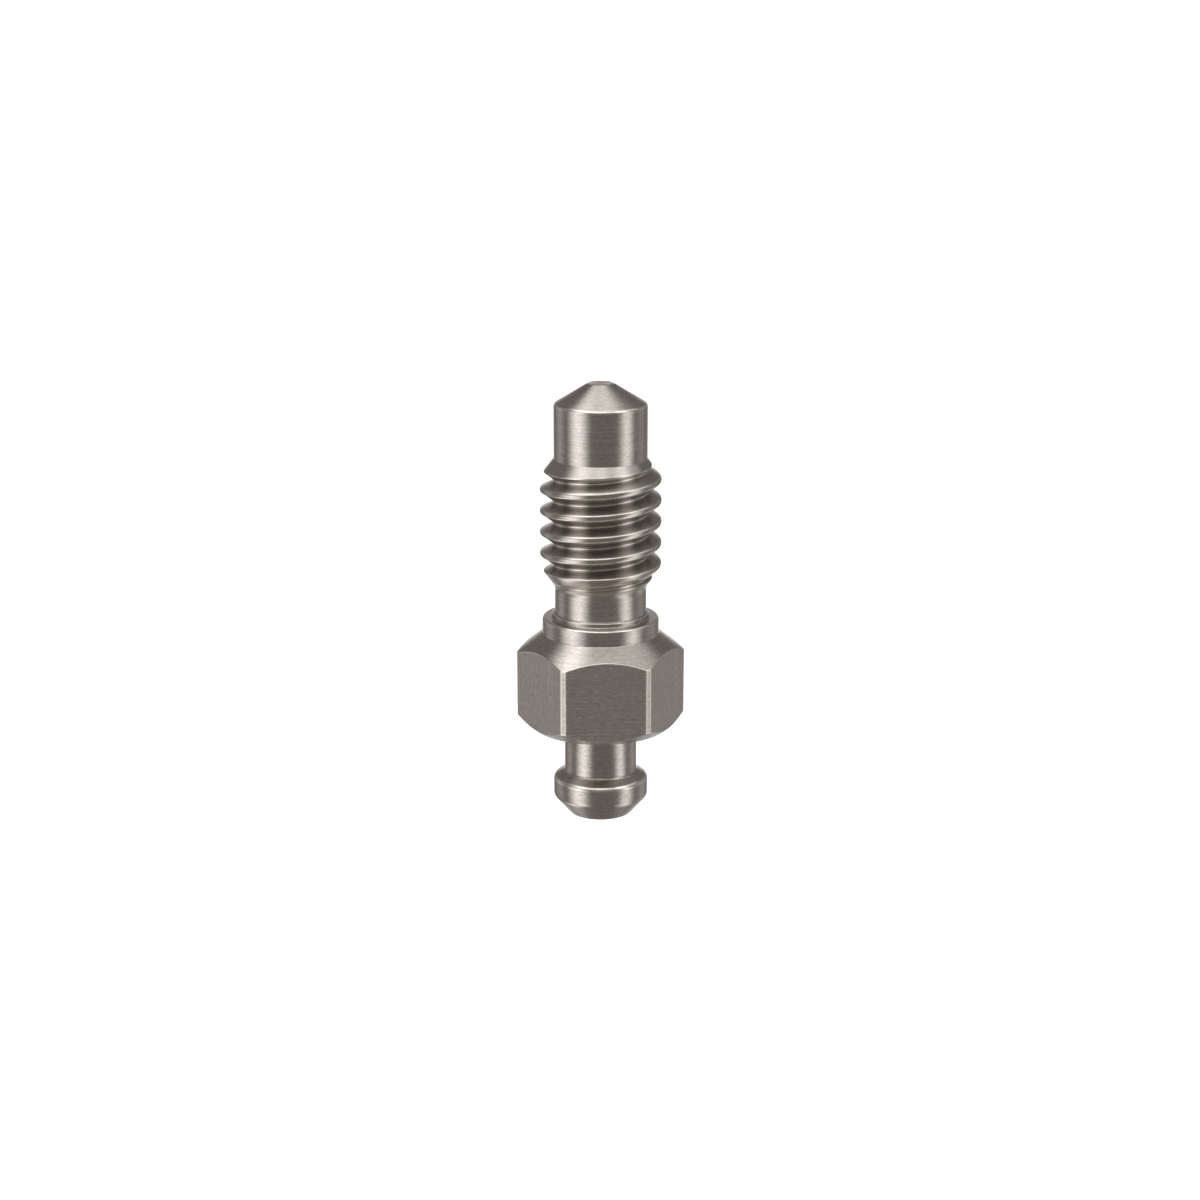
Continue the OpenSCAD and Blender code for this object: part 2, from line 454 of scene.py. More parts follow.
def add_hexagon(gathered, s, at):
    """The hexagon with its turned shoulder and chamfer, and the collar above it."""
    hexagon, shank = s.hexagon, s.shank
    edge = shank.edge_break
    angles = hexagon_columns(hexagon, at.corner_r)
    columns, weights = [], []
    for turn in angles:
        side = hexagon_radius(turn, hexagon, at.corner_r)
        low = at.underside + (side - at.underside_r) * tan(hexagon.lower_angle)
        high = at.collar_foot - (side - hexagon.collar_radius) * tan(hexagon.upper_angle)
        corners = [
            (at.underside_join, at.underside, 0),
            (at.underside_r, at.underside, edge),
            (side, low, edge),
            (side, high, edge),
            (hexagon.collar_radius, at.collar_foot, shank.tool_fillet),
            (hexagon.collar_radius, at.collar_top, hexagon.collar_rounding),
            (at.collar_join, at.collar_top, 0),
        ]
        columns.append(rounded_outline(corners))
        weights.append(edge_weights(corners))
    rows = [
        [(p.x * cos(a), p.x * sin(a), p.y) for a, p in zip(angles, level)]
        for level in zip(*columns)
    ]
    upward = [distances(column) for column in columns]
    whole = [lengths[-1] for lengths in upward]
    flat_row = 2 * (ARC_STEPS + 1)
    strip = pi / 6 - acos(hexagon.apothem / at.corner_r)

    def off_corner(turn):
        """How far a direction is from the nearest corner."""
        return min(turn % (pi / 3), pi / 3 - turn % (pi / 3))

    def finish(r, c):
        return MILLED if r == flat_row else TURNED

    # Nearness to a broken edge or to the edge of a corner strip, where the steel is smoother and gets
    # a painted highlight
    def edge_here(r, c):
        off_strip = abs(off_corner(angles[c]) - strip) / STRIP_EDGE
        beside = max(1 - off_strip, 0) if r in (flat_row, flat_row + 1) else 0
        return max(weights[c][r], beside)

    def marks(r, c, kind, face):
        x, y, z = rows[r][c]
        if kind == MILLED and off_corner(angles[face] + NEAR_STEP / 2) > strip:
            flat = int(angles[face] / (pi / 3))
            facing = pi / 3 * flat + pi / 6
            sideways = y * cos(facing) - x * sin(facing)
            # The flats to the front and the back are milled sideways, the others up and down
            return (z, sideways, 0) if flat % 3 == 1 else (sideways, z, 0)
        across = upward[c][r] if r <= flat_row else upward[c][r] - whole[c]
        return (across, x, y)

    gathered.add_grid(rows, marks, edge_here, finish)


def add_relief(gathered, s, at):
    """The step on the collar and the relief neck, up to the thread."""
    thread, shank = s.thread, s.shank
    gathered.add_turned([
        (at.collar_join - COLLAR_RING, at.collar_top, 0),
        (at.step_r, at.collar_top, shank.tool_fillet),
        (at.step_r, at.step, shank.edge_break / 2),
        (at.relief_r, at.step, shank.tool_fillet),
        (at.relief_r, at.thread_low, 0),
    ], even_angles(shank.columns))


def add_shank(gathered, s, at):
    """The plain shank, the conical seat and the flat on its point."""
    shank = s.shank
    gathered.add_turned([
        (shank.radius, at.thread_high, 0),
        (shank.radius, at.seat, shank.seat_rounding),
        (shank.tip_radius, TIP_HEIGHT, shank.tip_rounding),
        (0, TIP_HEIGHT, 0),
    ], even_angles(shank.columns))


def add_bore(gathered, s, at):
    """The bore, from its chamfered mouth up to the point that the drill left."""
    shank = s.shank
    mouth_r = shank.bore_radius + shank.mouth_chamfer
    point = shank.bore_radius / tan(shank.drill_angle / 2)
    gathered.add_turned([
        (mouth_r + MOUTH_RING, 0, 0),
        (mouth_r, 0, shank.edge_break / 4),
        (shank.bore_radius, shank.mouth_chamfer, shank.edge_break / 4),
        (shank.bore_radius, at.bore_top, shank.edge_break / 4),
        (0, at.bore_top + point, 0),
    ], even_angles(shank.columns // 2), DRILLED)


def add_joins(gathered, s, at):
    """The narrow flat rings between meshes of different columns."""
    round_columns = even_angles(s.shank.columns)
    bore_columns = even_angles(s.shank.columns // 2)
    hexagon = hexagon_columns(s.hexagon, at.corner_r)
    mouth_r = s.shank.bore_radius + s.shank.mouth_chamfer
    for height, inner_r, inner_columns, outer_r, outer_columns in (
        (0, mouth_r + MOUTH_RING, bore_columns, mouth_r + 2 * MOUTH_RING, round_columns),
        (at.underside, at.underside_join - UNDERSIDE_RING, round_columns, at.underside_join, hexagon),
        (at.collar_top, at.collar_join - COLLAR_RING, round_columns, at.collar_join, hexagon),
    ):
        gathered.add_flat_ring(height, inner_r, inner_columns, outer_r, outer_columns)


# Facets round the cross hole
CROSS_COLUMNS = 64


def cross_hole_cutter(s, at, materials):
    """A cutter for the cross hole, towards +Y, with a small countersink at the shank's surface."""
    shank = s.shank
    radius, surface, sharp = shank.cross_radius, shank.radius, 0.001 * MM
    cutter = Gathered()
    cutter.add_turned([
        (0, 0, 0),
        (radius, 0, sharp),
        (radius, surface - shank.edge_break, sharp),
        (radius + 2 * shank.edge_break, surface + shank.edge_break, sharp),
        (0, surface + shank.edge_break, 0),
    ], even_angles(CROSS_COLUMNS), DRILLED)
    mesh = cutter.mesh("cross_hole", materials)
    mesh.transform(Matrix.Translation((0, 0, at.cross)) @ Matrix.Rotation(-pi / 2, 4, "X"))
    return mesh


# ---------------------------------------------------------------- node tools

NODES_IN_COLUMN, NODE_WIDTH, NODE_HEIGHT = 10, 180, 170


def place_node(tree, node):
    """Lays the newest node out below the one before it, in columns from left to right."""
    column, row = divmod(len(tree.nodes), NODES_IN_COLUMN)
    node.location = (NODE_WIDTH * column, -NODE_HEIGHT * row)


class Field:
    """A number in a node tree. Arithmetic on it adds the math nodes that work it out."""

    def __init__(self, tree, socket):
        self.tree, self.socket = tree, socket

    def math(self, operation, *others):
        """The result of a math node, whose other operands are fields or plain numbers."""
        node = self.tree.nodes.new("ShaderNodeMath")
        node.operation = operation
        place_node(self.tree, node)
        for slot, value in zip(node.inputs, (self, *others)):
            if isinstance(value, Field):
                self.tree.links.new(value.socket, slot)
            else:
                slot.default_value = value
        return Field(self.tree, node.outputs[0])

    def __add__(self, other):
        return self.math("ADD", other)

    def __sub__(self, other):
        return self.math("SUBTRACT", other)

    def __rsub__(self, other):
        return (self * -1.0).math("ADD", other)

    def __mul__(self, other):
        return self.math("MULTIPLY", other)

    def __truediv__(self, other):
        return self.math("DIVIDE", other)

    def low(self, other):
        return self.math("MINIMUM", other)

    def high(self, other):
        return self.math("MAXIMUM", other)


def add_node(tree, kind, inputs=(), **values):
    """A node with its settings, and its inputs given by name as links or values."""
    node = tree.nodes.new(kind)
    place_node(tree, node)
    for key, value in values.items():
        setattr(node, key, value)
    for key, value in dict(inputs).items():
        if isinstance(value, Field):
            value = value.socket
        if isinstance(value, bpy.types.NodeSocket):
            tree.links.new(value, node.inputs[key])
        else:
            node.inputs[key].default_value = value
    return node


def add_sockets(tree, side, kind, titles):
    """Gives a node tree inputs or outputs of one kind."""
    for title in titles:
        tree.interface.new_socket(title, in_out=side, socket_type="NodeSocket" + kind)


# ---------------------------------------------------------------- thread by geometry nodes

# Points that are this near each other are one point
SAME_POINT = 0.001 * MM
# Rows of points for each stretch of a turn: each half of the root, each flank, and the crest
ROOT_ROWS, FLANK_ROWS, CREST_ROWS = 2, 8, 8
TURN_ROWS = 2 * ROOT_ROWS + 2 * FLANK_ROWS + CREST_ROWS
# Rows this near the foot of the shank are moved onto it
CORNER_REACH = 0.11 * MM
# How far the broken edges of the thread's crests and its burnished root reach, along the axis
EDGE_REACH = 0.06 * MM
ROOT_REACH = 0.11 * MM
# Height of the blank above the root over which a groove sets in
GROOVE_START = 0.35 * MM
# The edges between blank and groove are never sharper than this
LEAST_SOFTENING = 0.02 * MM
THREAD_INPUTS = (
    "Pitch",
    "First ridge",
    "Outside radius",
    "Root radius",
    "Relief radius",
    "Shank radius",
    "Crest width",
    "Flank slope",
    "Thread foot",
    "Shank foot",
    "Run-out length",
    "Lead-in length",
    "Lowest height",
    "Highest height",
    "Crest softening",
    "Root softening",
    "Root drop",
)


def thread_tree(name):
    """Geometry nodes that wrap a flat grid round the axis and raise the ridge of the thread on it.

    Each turn has the same rows of points: floor, flank, crest, flank and floor. Where the chamfered
    blank cuts the ridge short, the rows beside the crest follow the edge that the chamfer leaves.
    """
    tree = bpy.data.node_groups.new(name, "GeometryNodeTree")
    add_sockets(tree, "OUTPUT", "Geometry", ("Geometry",))
    add_sockets(tree, "INPUT", "Int", ("Columns", "Turns"))
    add_sockets(tree, "INPUT", "Float", THREAD_INPUTS)
    add_sockets(tree, "INPUT", "Material", ("Material",))
    given = add_node(tree, "NodeGroupInput").outputs
    columns, turns, *sizes = [Field(tree, given[t]) for t in ("Columns", "Turns", *THREAD_INPUTS)]
    (pitch, first_ridge, outside_r, root_r, relief_r, shank_r, crest, slope, foot, top,
     run_out, lead_in, lowest, highest, crest_soft, root_soft, root_drop) = sizes

    # A grid with one column more than the facets, so that its two ends meet
    row_count = turns * TURN_ROWS
    grid = add_node(tree, "GeometryNodeMeshGrid", {
        "Size X": columns, "Size Y": row_count,
        "Vertices X": columns + 1, "Vertices Y": row_count + 1,
    })
    place = add_node(tree, "ShaderNodeSeparateXYZ", {
        "Vector": add_node(tree, "GeometryNodeInputPosition").outputs[0],
    }).outputs
    column = (Field(tree, place["X"]) + columns * 0.5).math("ROUND")
    row = (Field(tree, place["Y"]) + row_count * 0.5).math("ROUND")
    turn = ((row + 0.5) / TURN_ROWS).math("FLOOR")
    row_in_turn = row - turn * TURN_ROWS
    around = column / columns

    # The middle of the ridge, and the blank's chamfers as straight lines
    ridge = first_ridge + pitch * (turn + around)
    depth = outside_r - root_r
    half = crest * 0.5 + depth / slope
    out_slope = (outside_r - relief_r) / run_out
    in_slope = (outside_r - shank_r) / lead_in

    # Where each flank reaches the blank: the outside, the run-out chamfer or the lead-in chamfer
    low_foot, high_foot = ridge - half, ridge + half
    out_base = relief_r - root_r - foot * out_slope
    in_base = shank_r - root_r + top * in_slope
    low_edge = (
        (low_foot + depth / slope)
        .low((out_base + low_foot * slope) / (slope - out_slope))
        .low((in_base + low_foot * slope) / (slope + in_slope))
    )
    high_edge = (
        (high_foot - depth / slope)
        .high((high_foot * slope - out_base) / (slope + out_slope))
        .high((high_foot * slope - in_base) / (slope - in_slope))
    )
    middle = (low_edge + high_edge) * 0.5
    low_edge = low_edge.low(middle).high(low_foot)
    high_edge = high_edge.high(middle).low(high_foot)

    # Rows crowd towards each edge, so that the softened edges are round
    height, start = ridge - pitch * 0.5, 0
    for edge, rows in (
        (low_foot, ROOT_ROWS),
        (low_edge, FLANK_ROWS),
        (high_edge, CREST_ROWS),
        (high_foot, FLANK_ROWS),
        (ridge + pitch * 0.5, ROOT_ROWS),
    ):
        way = add_node(tree, "ShaderNodeMapRange", {
            "Value": row_in_turn, "From Min": float(start), "From Max": float(start + rows),
        }, interpolation_type="SMOOTHSTEP")
        height = height + (edge - height) * Field(tree, way.outputs[0])
        start += rows
    # A row always runs round the foot of the shank, so that this corner is clean
    height = height + (top - height) * height.math("COMPARE", top, CORNER_REACH)
    height = height.high(lowest).low(highest)

    # The blank, the groove and the softened edge between them
    run_out_r = (relief_r + (height - foot) * out_slope).math("SMOOTH_MAX", relief_r, root_soft)
    lead_in_r = (shank_r + (top - height) * in_slope).high(shank_r)
    blank = run_out_r.math("SMOOTH_MIN", lead_in_r, crest_soft)
    blank = blank.math("SMOOTH_MIN", outside_r, crest_soft)
    off_ridge = (height - ridge).math("ABSOLUTE")
    flank = root_r + (half - off_ridge) * slope
    groove = flank.math("SMOOTH_MAX", root_r, root_soft)
    # The softening fades with the ridge, so that the ends meet the relief neck and the shank
    soft = (blank - root_r).high(LEAST_SOFTENING).low(crest_soft)
    radius = blank.math("SMOOTH_MIN", groove, soft)

    # 1 where there is a groove, 0 round the relief neck and the shank
    grooved = ((blank - root_r) / GROOVE_START).high(0.0).low(1.0)
    sunk = ((blank - radius) / depth).low(1.0) * grooved
    bearing = around * (2 * pi)
    x, y = radius * bearing.math("COSINE"), radius * bearing.math("SINE")
    wrapped = add_node(tree, "ShaderNodeCombineXYZ", {
        "X": x, "Y": y, "Z": height - sunk * root_drop,
    })

    # Tool marks follow the helix: a flank is twice as long as it is high. The root is made smoother
    # and gets a painted highlight, as the broken edges do.
    marks = add_node(tree, "ShaderNodeCombineXYZ", {
        "X": (height - ridge) * 2.0, "Y": x, "Z": y,
    })
    off_edge = (height - low_edge).math("ABSOLUTE").low((height - high_edge).math("ABSOLUTE"))
    on_edge = (1.0 - off_edge / EDGE_REACH).high(0.0)
    off_root = pitch * 0.5 - off_ridge
    on_root = (1.0 - off_root / ROOT_REACH).high(0.0)

    # These are stored while the grid is still flat, because rows and columns are read from it
    shaped = grid.outputs["Mesh"]
    for title, kind, value in (
        (MARKS, "FLOAT_VECTOR", marks.outputs[0]),
        # Nearness to the crests' edges and to the root: smoother steel with a painted highlight
        (EDGES, "FLOAT", on_edge.high(on_root) * grooved),
        # Depth in the groove, left out at the root, paints shade on the flanks
        (GROOVE, "FLOAT", sunk * (1.0 - on_root)),
    ):
        shaped = add_node(tree, "GeometryNodeStoreNamedAttribute", {
            "Geometry": shaped, "Name": title, "Value": value,
        }, data_type=kind, domain="CORNER").outputs[0]
    placed = add_node(tree, "GeometryNodeSetPosition", {
        "Geometry": shaped, "Position": wrapped.outputs[0],
    })
    merged = add_node(tree, "GeometryNodeMergeByDistance", {
        "Geometry": placed.outputs[0], "Distance": SAME_POINT,
    })
    realized = add_node(tree, "GeometryNodeRealizeInstances", {"Geometry": merged.outputs[0]})
    painted = add_node(tree, "GeometryNodeSetMaterial", {
        "Geometry": realized.outputs[0], "Material": given["Material"],
    })
    add_node(tree, "NodeGroupOutput", {"Geometry": painted.outputs[0]})
    return tree


def set_inputs(modifier, values):
    """Sets a geometry nodes modifier's inputs, given by name, through their identifiers."""
    for item in modifier.node_group.interface.items_tree:
        if item.in_out == "INPUT" and item.name in values:
            modifier[item.identifier] = values[item.name]


def evaluated_mesh(thing):
    """A plain mesh of an object with all its modifiers."""
    graph = bpy.context.evaluated_depsgraph_get()
    graph.update()
    return bpy.data.meshes.new_from_object(thing.evaluated_get(graph))


def add_object(name, data):
    """A new object in the scene, at the origin."""
    thing = bpy.data.objects.new(name, data)
    bpy.context.scene.collection.objects.link(thing)
    return thing


# ---------------------------------------------------------------- materials

# How much the fine lines, the long hairlines and the worn patches lighten or darken the steel
FINE_TONE, HAIRLINE_TONE, WORN_TONE = 0.35, 0.2, 0.05
# Painted highlight: how much lighter a broken edge or the thread's root is than a face. Painted
# shade: how much darker a flank gets deeper in the thread's groove
EDGE_PAINTED_HIGHLIGHT = 0.8
GROOVE_SHADE = 0.4
# How much rougher the worn patches are, and how much smoother the broken edges
WORN_ROUGHNESS, EDGE_SMOOTHNESS = 0.04, 0.05
# Height of the hairlines beside that of the fine lines
HAIRLINE_HEIGHT = 0.5

# For each finish: how much its marks spread highlights across them, lines and drift per mm,
# contrast, and depth
FINISH_MARKS = (
    (0.7, 9, 3.0, 1.5, 0.0003 * MM),
    (0.0, 10, 2.5, 2.1, 0.0006 * MM),
    (0.0, 8, 1.0, 1.0, 0.003 * MM),
    (0.8, 9, 1.5, 1.0, 0.0003 * MM),
)


def tool_marks_group():
    """Fine lines left by a tool, which change quickly across the marks and slowly along them. The
    tone also holds a painted highlight on edges and painted shade deep in the thread's groove.
    """
    name = "Tool marks"
    if name in bpy.data.node_groups:
        return bpy.data.node_groups[name]
    tree = bpy.data.node_groups.new(name, "ShaderNodeTree")
    add_sockets(tree, "INPUT", "Vector", ("Marks",))
    titles = ("Edges", "Groove", "Lines per mm", "Drift per mm", "Contrast")
    add_sockets(tree, "INPUT", "Float", titles)
    add_sockets(tree, "OUTPUT", "Float", ("Height", "Tone", "Roughness"))
    given = add_node(tree, "NodeGroupInput").outputs
    lines = Field(tree, given["Lines per mm"]) * (1 / MM)
    drift = Field(tree, given["Drift per mm"]) * (1 / MM)

    def noise(density, wander, detail):
        """Noise stretched along the marks, as shares of the density and the drift."""
        stretch = add_node(tree, "ShaderNodeCombineXYZ", {
            "X": lines * density, "Y": drift * wander, "Z": drift * wander,
        })
        vector = add_node(tree, "ShaderNodeVectorMath", {
            0: given["Marks"], 1: stretch.outputs[0],
        }, operation="MULTIPLY")
        made = add_node(tree, "ShaderNodeTexNoise", {
            "Vector": vector.outputs[0], "Scale": 1.0, "Detail": detail, "Roughness": 0.6,
        })
        return Field(tree, made.outputs["Fac"]) - 0.5

    fine = noise(density=1.0, wander=1.0, detail=1.0)
    hairlines = noise(density=0.8, wander=0.06, detail=1.0)
    worn = noise(density=0.06, wander=0.5, detail=2.0)
    lines_tone = fine * FINE_TONE + hairlines * HAIRLINE_TONE + worn * WORN_TONE
    pattern = lines_tone * Field(tree, given["Contrast"])
    edges, groove = Field(tree, given["Edges"]), Field(tree, given["Groove"])
    add_node(tree, "NodeGroupOutput", {
        "Height": fine + hairlines * HAIRLINE_HEIGHT,
        # The tone holds a painted highlight on edges and the root, and painted shade deeper in the
        # groove
        "Tone": (pattern + edges * EDGE_PAINTED_HIGHLIGHT + 1.0) * (1.0 - groove * GROOVE_SHADE),
        "Roughness": worn * WORN_ROUGHNESS - edges * EDGE_SMOOTHNESS,
    })
    return tree


# The highlights are spread up and down, not round the axis
QUARTER_TURN = 0.25


def steel_material(name, tone, roughness, stretch, lines, drift, contrast, depth):
    """Bare steel with tool marks of the given density, contrast and depth.

    stretch is how much the marks spread highlights up and down, across the marks.
    """
    material = bpy.data.materials.new(name)
    material.use_nodes = True
    tree = material.node_tree
    shader = tree.nodes["Principled BSDF"]
    shader.inputs["Metallic"].default_value = 1.0
    shader.inputs["Anisotropic"].default_value = stretch
    shader.inputs["Anisotropic Rotation"].default_value = QUARTER_TURN
    marks, edges, groove = (
        add_node(tree, "ShaderNodeAttribute", attribute_name=name).outputs
        for name in (MARKS, EDGES, GROOVE)
    )
    group = add_node(tree, "ShaderNodeGroup", {
        "Marks": marks["Vector"], "Edges": edges["Fac"], "Groove": groove["Fac"],
        "Lines per mm": lines, "Drift per mm": drift, "Contrast": contrast,
    }, node_tree=tool_marks_group())
    tinted = add_node(tree, "ShaderNodeVectorMath", {
        0: tone, "Scale": group.outputs["Tone"],
    }, operation="SCALE")
    tree.links.new(tinted.outputs[0], shader.inputs["Base Color"])
    rough = Field(tree, group.outputs["Roughness"]) + roughness
    tree.links.new(rough.socket, shader.inputs["Roughness"])
    bump = add_node(tree, "ShaderNodeBump", {"Height": group.outputs["Height"], "Distance": depth})
    tree.links.new(bump.outputs[0], shader.inputs["Normal"])
    return material


def steel_materials(steel):
    """The four finishes of the steel, which are made only once."""
    if FINISHES[0] in bpy.data.materials:
        return [bpy.data.materials[name] for name in FINISHES]
    roughnesses = (
        steel.turned_roughness,
        steel.milled_roughness,
        steel.drilled_roughness,
        steel.threaded_roughness,
    )
    tone = tuple(steel.tone)
    return [
        steel_material(name, tone, roughness, *marks)
        for name, roughness, marks in zip(FINISHES, roughnesses, FINISH_MARKS)
    ]


# ---------------------------------------------------------------- operators


# Edges that turn more than this are shaded sharp
SHARP_ANGLE = radians(33)
# Edges shorter than this are dissolved
SHORTEST_EDGE = 0.0001 * MM


class BLEEDNIPPLE_OT_thread(Operator):
    """Cut the thread: the ridge wound round the blank, with its chamfered ends"""

    bl_idname = "bleed_nipple.thread"
    bl_label = "Thread"

    def execute(self, context):
        s = settings()
        at, thread = Levels(s), s.thread
        half_pitch = thread.pitch / 2
        # Height of a ridge at direction zero, low enough for the first turn to start below the
        # mesh's lowest row
        ridge = at.thread_foot - thread.pitch * thread.start / (2 * pi) + half_pitch
        ridge -= thread.pitch * ceil((ridge + half_pitch - at.thread_low) / thread.pitch)
        turns = ceil((at.thread_high - ridge) / thread.pitch + 0.5)
        turned = add_object(THREAD, bpy.data.meshes.new(THREAD))
        modifier = turned.modifiers.new("Thread", "NODES")
        modifier.node_group = thread_tree("Thread by rule")
        set_inputs(modifier, {
            "Columns": s.shank.columns,
            "Turns": turns,
            "Pitch": thread.pitch,
            "First ridge": ridge,
            "Outside radius": thread.radius,
            "Root radius": at.root_r,
            "Relief radius": at.relief_r,
            "Shank radius": s.shank.radius,
            "Crest width": thread.crest,
            "Flank slope": 1 / tan(thread.flank_angle),
            "Thread foot": at.thread_foot,
            "Shank foot": at.shank_foot,
            "Run-out length": thread.run_out,
            "Lead-in length": thread.lead_in,
            "Lowest height": at.thread_low,
            "Highest height": at.thread_high,
            "Crest softening": thread.crest_rounding,
            "Root softening": thread.root_rounding,
            "Root drop": thread.root_drop,
            "Material": steel_materials(s.steel)[THREADED],
        })
        turned.data = evaluated_mesh(turned)
        turned.modifiers.remove(modifier)
        return {"FINISHED"}


class BLEEDNIPPLE_OT_body(Operator):
    """Turn the body, mill the hexagon, drill it and join the thread to it as one solid"""

    bl_idname = "bleed_nipple.body"
    bl_label = "Body"

    def execute(self, context):
        s = settings()
        at, materials = Levels(s), steel_materials(s.steel)
        thread = bpy.data.objects[THREAD]
        gathered = Gathered()
        for add in (add_hose_end, add_hexagon, add_relief, add_shank, add_bore, add_joins):
            add(gathered, s, at)
        body = gathered.mesh(PIECE, materials)

        joined = bmesh.new()
        joined.from_mesh(body)
        body_faces = len(joined.faces)
        joined.from_mesh(thread.data)
        for face in list(joined.faces)[body_faces:]:
            face.material_index = THREADED
        bmesh.ops.remove_doubles(joined, verts=joined.verts, dist=SAME_POINT)
        bmesh.ops.dissolve_degenerate(joined, edges=joined.edges, dist=SHORTEST_EDGE)
        bmesh.ops.recalc_face_normals(joined, faces=joined.faces)
        open_edges = sum(not edge.is_manifold for edge in joined.edges)
        joined.to_mesh(body)
        joined.free()
        bpy.data.objects.remove(thread)
        if open_edges:
            raise RuntimeError(f"the body has {open_edges} open edges")

        piece = add_object(PIECE, body)
        cutter = add_object("cross_hole", cross_hole_cutter(s, at, materials))
        drill = piece.modifiers.new("Cross hole", "BOOLEAN")
        drill.operation, drill.solver, drill.object = "DIFFERENCE", "EXACT", cutter
        piece.data = evaluated_mesh(piece)
        piece.modifiers.clear()
        bpy.data.objects.remove(cutter)

        piece.data.shade_smooth()
        piece.data.set_sharp_from_angle(angle=SHARP_ANGLE)
        normals = piece.modifiers.new("Normals", "WEIGHTED_NORMAL")
        normals.keep_sharp = True
        piece.data = evaluated_mesh(piece)
        piece.modifiers.clear()
        piece.data.name = PIECE

        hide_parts(NODE)
        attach(piece, "root")
        return {"FINISHED"}


def direction(azimuth, elevation):
    """Away from the axis: azimuth 0 is to the front, -Y, and grows towards +X."""
    return Vector((
        sin(azimuth) * cos(elevation),
        -cos(azimuth) * cos(elevation),
        sin(elevation),
    ))


# The softboxes round the nipple. Azimuth 0 stands behind the camera and grows to the right.
# Their places and widths were chosen. Most of their brightnesses, and that of the surround, were
# worked out by a least squares fit in another program.
SOFTBOXES = (
    # name, azimuth, elevation, half width and half height in degrees, brightness
    ("left strip, upper part", -55, 45, 30, 28, 1.41),
    ("left strip, middle part", -57, -9, 35, 38, 1.68),
    ("left strip, lower part", -54, -41, 26, 18, 2.00),
    ("right strip, upper part", 62, 45, 24, 28, 1.99),
    ("right strip, middle part", 67, -9, 27, 38, 1.29),
    ("right strip, lower part", 64, -39, 25, 18, 1.30),
    ("left top", -95, 65, 30, 25, 1.92),
    ("right top", 105, 48, 26, 24, 0.79),
    ("front top", 0, 60, 38, 34, 1.50),
    ("rear low right", 130, -30, 22, 22, 0.39),
    ("rear top left", -140, 72, 25, 25, 0.80),
    ("rear top right", 140, 75, 25, 25, 1.42),
    ("rear", 180, -20, 30, 45, 1.31),
    ("low left", -105, -55, 26, 20, 1.81),
    ("low right", 95, -55, 26, 20, 1.00),
    ("left side", -118, -10, 28, 40, 0.30),
    ("right side", 115, -10, 32, 40, 0.14),
)


# Where a softbox would have its full glow: its rim is at 1 and its middle at 0, so the middle
# stays a little under full
FULL_GLOW = -0.15
# Keeps directions away from a softbox from being divided by nothing
ALMOST_NONE = 0.001


def softbox_group():
    """The glow of one softbox: an ellipse that fades out softly towards its rim."""
    tree = bpy.data.node_groups.new("Softbox", "ShaderNodeTree")
    titles = ("Direction", "Towards", "Across", "Up")
    add_sockets(tree, "INPUT", "Vector", titles)
    add_sockets(tree, "INPUT", "Float", ("Brightness",))
    add_sockets(tree, "OUTPUT", "Float", ("Glow",))
    given = add_node(tree, "NodeGroupInput").outputs
    facing, across, up = (
        Field(tree, add_node(tree, "ShaderNodeVectorMath", {
            0: given["Direction"], 1: given[title],
        }, operation="DOT_PRODUCT").outputs["Value"])
        for title in titles[1:]
    )
    from_middle = (across * across + up * up).math("SQRT") / facing.high(ALMOST_NONE)
    fade = add_node(tree, "ShaderNodeMapRange", {
        "Value": from_middle, "From Min": 1.0, "From Max": FULL_GLOW,
    }, interpolation_type="SMOOTHSTEP")
    glow = Field(tree, fade.outputs[0]) * Field(tree, given["Brightness"])
    add_node(tree, "NodeGroupOutput", {"Glow": glow})
    return tree


def add_room(name, studio):
    """The room: the softboxes and a dim surround in reflections, and plain white to the camera."""
    world = bpy.data.worlds.new(name)
    world.use_nodes = True
    tree = world.node_tree
    looking = add_node(tree, "ShaderNodeTexCoord").outputs["Generated"]
    group = softbox_group()
    light = None
    for title, azimuth, elevation, half_width, half_height, brightness in SOFTBOXES:
        turn, rise = studio.azimuth + radians(azimuth), radians(elevation)
        across = direction(turn + pi / 2, 0) / tan(radians(half_width))
        up = direction(turn, rise + pi / 2) / tan(radians(half_height))
        box = add_node(tree, "ShaderNodeGroup", {
            "Direction": looking, "Towards": direction(turn, rise), "Across": across, "Up": up,
            "Brightness": brightness,
        }, node_tree=group, label=title)
        glow = Field(tree, box.outputs["Glow"])
        light = light + glow if light else glow
    dim = add_node(tree, "ShaderNodeVectorMath", {
        0: tuple(studio.surround_tone), "Scale": studio.surround,
    }, operation="SCALE")
    lit = add_node(tree, "ShaderNodeVectorMath", {0: dim.outputs[0], 1: light})
    room = tree.nodes["Background"]
    tree.links.new(lit.outputs[0], room.inputs["Color"])
    white = add_node(tree, "ShaderNodeBackground", {"Color": (1, 1, 1, 1), "Strength": 1.0})
    rays = add_node(tree, "ShaderNodeLightPath")
    mixed = add_node(tree, "ShaderNodeMixShader", {
        0: rays.outputs["Is Camera Ray"], 1: room.outputs[0], 2: white.outputs[0],
    })
    tree.links.new(mixed.outputs[0], tree.nodes["World Output"].inputs["Surface"])
    return world


SENSOR_WIDTH = 36
# How near and how far the camera sees
NEAREST, FARTHEST = 1 * MM, 100
# Half the width of the floor, in metres
HALF_FLOOR = 20.0
PAPER_WHITE = 0.9


def add_camera(studio):
    """The camera, looking down at the nipple."""
    camera = add_object("camera", bpy.data.cameras.new("camera"))
    camera.data.lens, camera.data.sensor_width = studio.lens, SENSOR_WIDTH
    camera.data.clip_start, camera.data.clip_end = NEAREST, FARTHEST
    towards = direction(studio.azimuth, studio.elevation)
    camera.location = Vector((-studio.aside, 0, studio.target)) + towards * studio.distance
    camera.rotation_euler = towards.to_track_quat("Z", "Y").to_euler()
    return camera


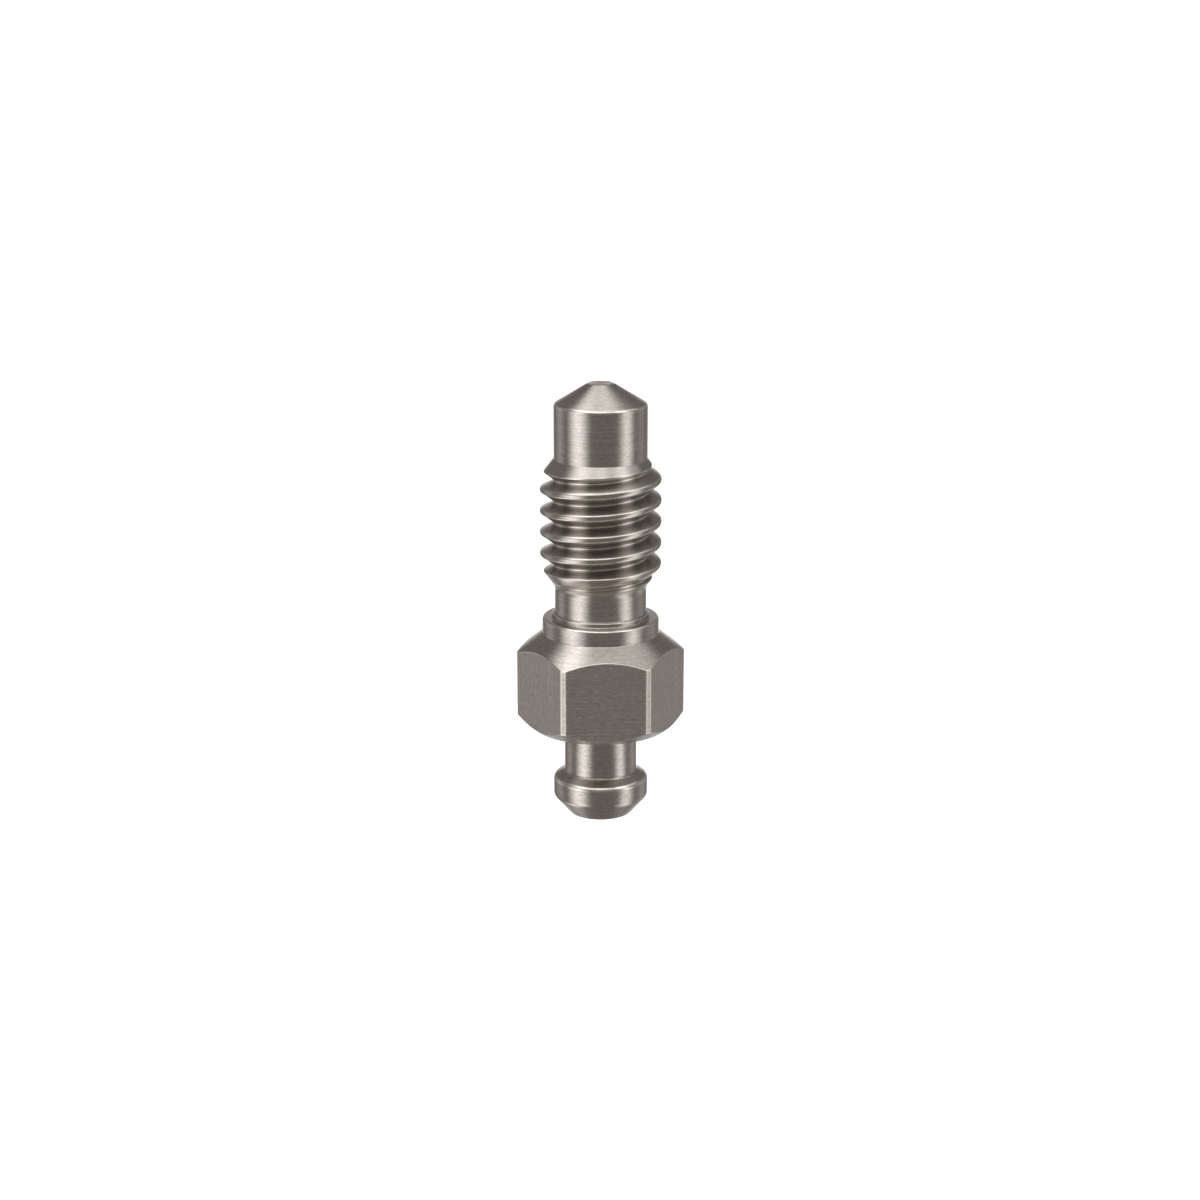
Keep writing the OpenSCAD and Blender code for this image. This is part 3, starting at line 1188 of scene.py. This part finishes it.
def add_floor():
    """A wide sheet of white paper, lit evenly."""
    mesh = bpy.data.meshes.new("floor")
    corners = ((-1, -1), (1, -1), (1, 1), (-1, 1))
    mesh.from_pydata([(x * HALF_FLOOR, y * HALF_FLOOR, 0) for x, y in corners], [], [range(4)])
    paper = bpy.data.materials.new("white_paper")
    paper.use_nodes = True
    shader = paper.node_tree.nodes["Principled BSDF"]
    shader.inputs["Base Color"].default_value = (PAPER_WHITE, PAPER_WHITE, PAPER_WHITE, 1)
    shader.inputs["Roughness"].default_value = 0.9
    shader.inputs["Emission Color"].default_value = (1, 1, 1, 1)
    shader.inputs["Emission Strength"].default_value = 1.0
    mesh.materials.append(paper)
    floor = add_object("floor", mesh)
    # The nipple shows no reflection of the floor, and the softboxes reach it from below too
    floor.visible_glossy = False
    floor.visible_shadow = False
    return floor


class BLEEDNIPPLE_OT_stage(Operator):
    """Set up the floor, the softboxes and the camera"""

    bl_idname = "bleed_nipple.stage"
    bl_label = "Stage"

    def execute(self, context):
        scene, studio = context.scene, settings().studio
        scene.camera = add_camera(studio)
        add_floor()
        scene.world = add_room("studio", studio)
        scene.view_settings.view_transform = "Standard"
        return {"FINISHED"}


class BLEEDNIPPLE_PT_panel(Panel):
    """Lists the settings and the operators of the bleed nipple"""

    bl_label = "Bleed Nipple"
    bl_idname = "BLEEDNIPPLE_PT_panel"
    bl_space_type = "VIEW_3D"
    bl_region_type = "UI"
    bl_category = "Bleed Nipple"

    def draw(self, context):
        groups = settings()
        for title in ("hose_end", "hexagon", "thread", "shank", "steel", "studio"):
            box = self.layout.box()
            box.label(text=title.replace("_", " ").capitalize())
            group = getattr(groups, title)
            for key in group.__annotations__:
                box.prop(group, key)
        for operator in OPERATORS:
            self.layout.operator(operator.bl_idname)


OPERATORS = (BLEEDNIPPLE_OT_thread, BLEEDNIPPLE_OT_body, BLEEDNIPPLE_OT_stage)
CLASSES = (
    HoseEndSizes,
    HexagonSizes,
    ThreadSizes,
    ShankSizes,
    SteelFinish,
    StudioSettings,
    NippleSettings,
    *OPERATORS,
    BLEEDNIPPLE_PT_panel,
)


def register():
    for item in CLASSES:
        bpy.utils.register_class(item)
    bpy.types.Scene.bleed_nipple = PointerProperty(type=NippleSettings)


def unregister():
    del bpy.types.Scene.bleed_nipple
    for item in reversed(CLASSES):
        bpy.utils.unregister_class(item)


def main():
    register()
    bpy.ops.bleed_nipple.thread()
    bpy.ops.bleed_nipple.body()
    bpy.ops.bleed_nipple.stage()


if __name__ == "__main__":
    main()
